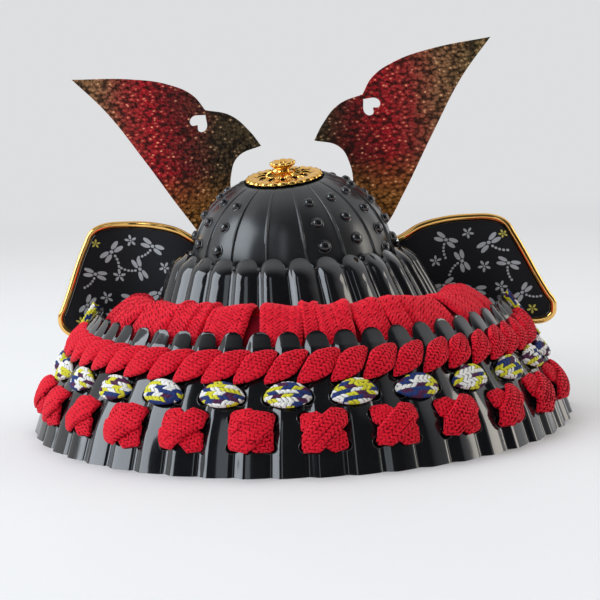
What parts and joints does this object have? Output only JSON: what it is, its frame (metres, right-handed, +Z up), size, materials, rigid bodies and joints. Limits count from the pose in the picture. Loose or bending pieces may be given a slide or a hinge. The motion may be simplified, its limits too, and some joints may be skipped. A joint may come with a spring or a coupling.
{
  "type": "kabuto",
  "caption": "Small display kabuto: ribbed black bowl, gilt horns and top ornament, fluted lacquered neck guard tied with red braid",
  "frame": {"origin": "under the middle of the helmet, on the plane that the neck guard's hem rests on", "axes": "+Z up, the front with the visor faces -Y, +X is the wearer's left"},
  "size_m": [0.1654, 0.1252, 0.1146],
  "materials": {
    "bowl_black": "satin black lacquer over metal, with domed rivets",
    "lacquer_black": "glossy black lacquer",
    "gilt": "bright gilt, openwork and chased",
    "horn_gilt": "gilt with a fine embossed grain",
    "rim_gold": "polished gold",
    "red_braid": "flat knitted red braid",
    "mixed_braid": "braid of white, yellow-green, blue and purple strands",
    "wing_cloth": "black printed cloth with pale dragonflies and flowers"
  },
  "bodies": {
    "root": {"bowl": "bowl_black", "tehen_base": "gilt", "tehen_petals": "gilt", "tehen_knob": "gilt", "visor": "lacquer_black", "horn_holder": "gilt", "horn_left": "horn_gilt", "horn_right": "horn_gilt", "upper_lame": "lacquer_black", "lower_lame": "lacquer_black", "lacing_loops": "red_braid", "lacing_rope": "red_braid", "knot_01": "mixed_braid", "knot_02": "mixed_braid", "knot_03": "mixed_braid", "knot_04": "mixed_braid", "knot_05": "mixed_braid", "knot_06": "mixed_braid", "knot_07": "mixed_braid", "knot_08": "mixed_braid", "knot_09": "mixed_braid", "knot_10": "mixed_braid", "knot_11": "mixed_braid", "knot_12": "mixed_braid", "knot_13": "mixed_braid", "cross_01": "red_braid", "cross_02": "red_braid", "cross_03": "red_braid", "cross_04": "red_braid", "cross_05": "red_braid", "cross_06": "red_braid", "cross_07": "red_braid", "cross_08": "red_braid", "cross_09": "red_braid", "cross_10": "red_braid", "cross_11": "red_braid", "cross_12": "red_braid", "edge_braid_left": "mixed_braid", "edge_braid_right": "mixed_braid", "wing_left": "wing_cloth", "wing_right": "wing_cloth", "wing_rim_left": "rim_gold", "wing_rim_right": "rim_gold"}
  },
  "joints": []
}
